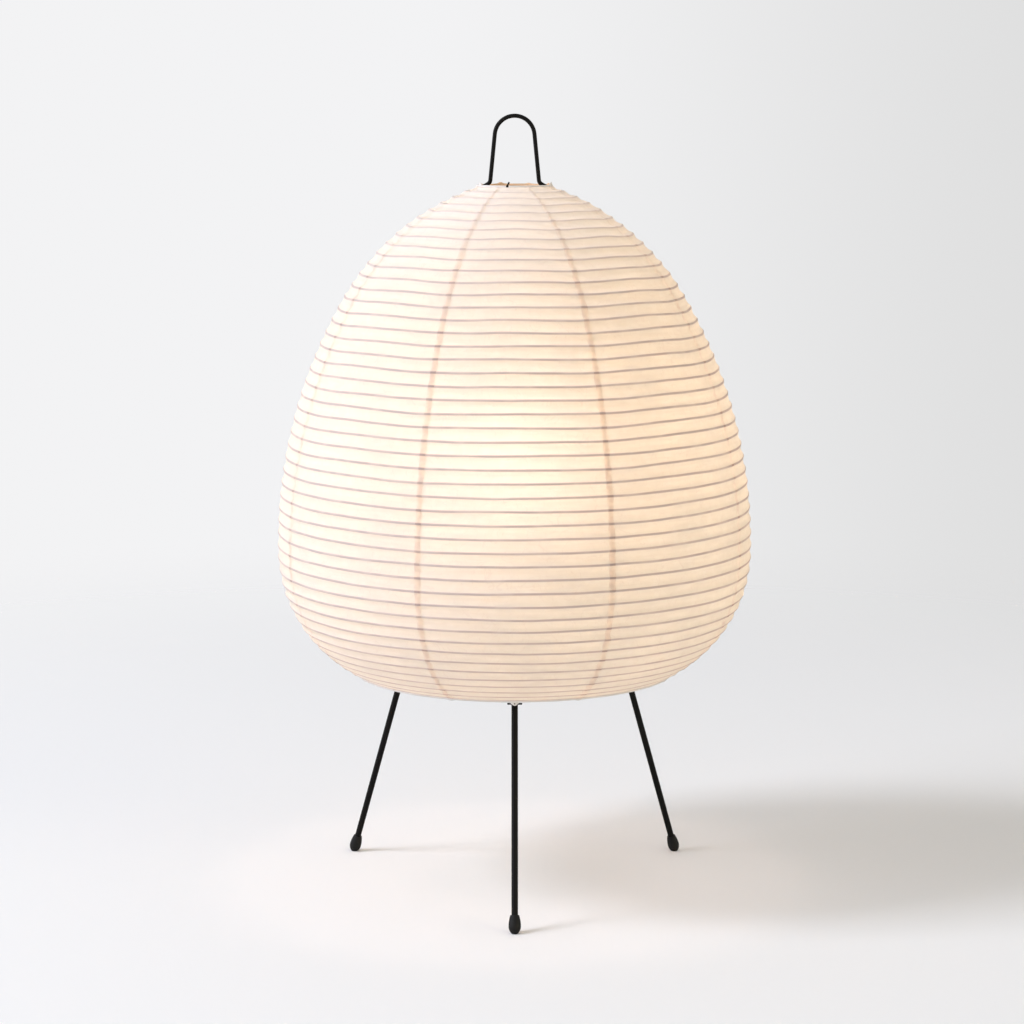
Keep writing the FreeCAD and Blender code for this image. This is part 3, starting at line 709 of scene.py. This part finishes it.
def dress_nodes():
    """A finish for each material slot of the rigid pieces."""
    paint_tones = ((0.0022, 0.0018, 0.0014), (0.004, 0.0034, 0.0028))
    rubber_tones = ((0.004, 0.0036, 0.0032), (0.008, 0.0072, 0.0065))
    black = coated_material("black_wire_paint", *paint_tones, 90.0, 0.5, shine=0.12)
    rubber = coated_material("foot_rubber", *rubber_tones, 160.0, 0.6, shine=0.2)
    plastic = coated_material("holder_plastic", (0.80, 0.79, 0.76), (0.85, 0.84, 0.81), 70.0, 0.45)
    steel = coated_material("plated_steel", (0.55, 0.55, 0.56), (0.66, 0.66, 0.66), 120.0, 0.32, metal=1.0)
    brass = coated_material("holder_brass", (0.70, 0.50, 0.21), (0.80, 0.60, 0.28), 110.0, 0.3, metal=1.0)
    ceramic = coated_material("block_ceramic", (0.84, 0.83, 0.80), (0.89, 0.88, 0.85), 60.0, 0.5)
    glass = coated_material("cap_glass", (0.012, 0.012, 0.015), (0.02, 0.02, 0.022), 60.0, 0.12)
    board = coated_material("board_mask", (0.82, 0.83, 0.83), (0.88, 0.88, 0.87), 80.0, 0.35)
    phosphor = coated_material("led_phosphor", (0.85, 0.66, 0.16), (0.92, 0.75, 0.25), 200.0, 0.4)
    finishes = {
        "black_wire": black, "hub_paint": black, "foot_rubber": rubber, "white_plastic": plastic,
        "steel": steel, "nickel": steel, "brass": brass, "ceramic": ceramic, "black_glass": glass,
        "board": board, "led": phosphor,
    }
    for part in frame["record"]["subparts"]:
        node = frame["nodes"][part["node"]]
        finish = finishes.get(part["material_slot"])
        if finish is not None:
            for place in range(len(node.material_slots)):
                node.material_slots[place].material = finish


# Stage, light and camera

def floor_material():
    """Matte pale floor, lifted a little for the camera. It clears away with distance from the lamp."""
    material, tree = new_material("pale_floor")
    place = add_node(tree, "ShaderNodeTexCoord").outputs["Object"]
    distance = add_node(tree, "ShaderNodeVectorMath", operation="LENGTH", i0=place).outputs["Value"]
    path = add_node(tree, "ShaderNodeLightPath")
    matte = add_node(tree, "ShaderNodeBsdfDiffuse", Color=(*FLOOR_COLOUR, 1))
    lifted = add_node(tree, "ShaderNodeEmission", Strength=FLOOR_LIFT)
    lifted.inputs["Color"].default_value = (1.0, 1.0, 1.0, 1)
    nothing = add_node(tree, "ShaderNodeEmission", Strength=0.0)
    seen = mixed_shader(tree, path.outputs["Is Camera Ray"], nothing, lifted)
    both = add_node(tree, "ShaderNodeAddShader")
    tree.links.new(matte.outputs[0], both.inputs[0])
    tree.links.new(seen.outputs[0], both.inputs[1])
    clear = add_node(tree, "ShaderNodeBsdfTransparent")
    finish_material(tree, mixed_shader(tree, eased(tree, distance, *FLOOR_CLEARS), both, clear))
    return material


def floor():
    """Pale round floor of rings about the lamp's axis, with a disc in the middle. It clears away towards its
    edge, so the background follows on."""
    rings, sides = 24, 72
    r = np.linspace(FLOOR_MIDDLE_R, FLOOR_R, rings)[:, None]
    turn = np.linspace(0, 2 * math.pi, sides, endpoint=False)[None, :]
    points = np.stack([r * np.cos(turn), r * np.sin(turn), np.zeros((rings, sides))], -1).reshape(-1, 3)
    material = floor_material()
    outer = mesh_piece("stage_floor", points, grid_faces(rings, sides, False, True))
    disc = mesh_piece("stage_floor_middle", points[:sides], np.arange(sides)[None, :])
    for piece in (outer, disc):
        piece.data.materials.append(material)


def world():
    """Soft even light, and for the camera a pale background that darkens slightly to the right."""
    scene_world = bpy.data.worlds.new("studio")
    bpy.context.scene.world = scene_world
    scene_world.use_nodes = True
    tree = scene_world.node_tree
    tree.nodes.clear()
    way = add_node(tree, "ShaderNodeTexCoord").outputs["Generated"]
    across = add_node(tree, "ShaderNodeSeparateXYZ", i0=way).outputs[0]
    backdrop = two_colours(tree, eased(tree, across, *BACKDROP_TURN), BACKDROP_LEFT, BACKDROP_RIGHT)
    path = add_node(tree, "ShaderNodeLightPath")
    shown = math_node(tree, "MAXIMUM", path.outputs["Is Camera Ray"], path.outputs["Is Glossy Ray"])
    soft = add_node(tree, "ShaderNodeBackground", Strength=FILL_STRENGTH)
    soft.inputs["Color"].default_value = (*FILL_COLOUR, 1)
    pale = add_node(tree, "ShaderNodeBackground", Color=backdrop, Strength=1.0)
    output = add_node(tree, "ShaderNodeOutputWorld")
    tree.links.new(mixed_shader(tree, shown, soft, pale).outputs[0], output.inputs["Surface"])


def area_light(name, at, towards, size, watts, colour):
    """Square lamp at a place, facing another."""
    light = bpy.data.lights.new(name, "AREA")
    light.shape = "SQUARE"
    light.size = size
    light.energy = watts
    light.color = colour
    lamp = bpy.data.objects.new(name, light)
    bpy.context.scene.collection.objects.link(lamp)
    lamp.location = at
    way = Vector(towards) - Vector(at)
    lamp.rotation_euler = way.to_track_quat("-Z", "Y").to_euler()


def camera():
    view = bpy.data.cameras.new("photo_camera")
    view.lens = CAMERA_LENS
    view.sensor_width = CAMERA_SENSOR
    view.sensor_fit = "HORIZONTAL"
    view.clip_end = 50.0
    eye = bpy.data.objects.new("photo_camera", view)
    bpy.context.scene.collection.objects.link(eye)
    eye.location = CAMERA_AT
    eye.rotation_euler = (math.pi / 2 - CAMERA_PITCH, 0, 0)
    bpy.context.scene.camera = eye


def stage():
    camera()
    world()
    floor()
    for light in LIGHTS:
        area_light(*light)
    bpy.context.scene.view_settings.view_transform = "Standard"


def lamp():
    paper = lamp_paper_material()
    for index in range(GORES):
        paper_gore(index, paper)
    hoops(bamboo_material())
    plain_paper = binding_paper_material()
    binding("top_binding", TOP_RING_R, TOP_RING_Z, "shade", TOP_BINDING_SEED, TOP_EARS, 1, plain_paper)
    binding("rim_binding", RIM_R, RIM_Z, "shade_rim", RIM_BINDING_SEED, RIM_EARS, -1, plain_paper)
    thread = coated_material("binding_thread", (0.10, 0.075, 0.05), (0.16, 0.12, 0.08), 300.0, 0.7)
    for index in range(LEGS):
        rim_tongue(index, plain_paper)
        tongue_knot(index, thread)
    bulb_globe(opal_material())
    dress_nodes()


stage()
lamp()
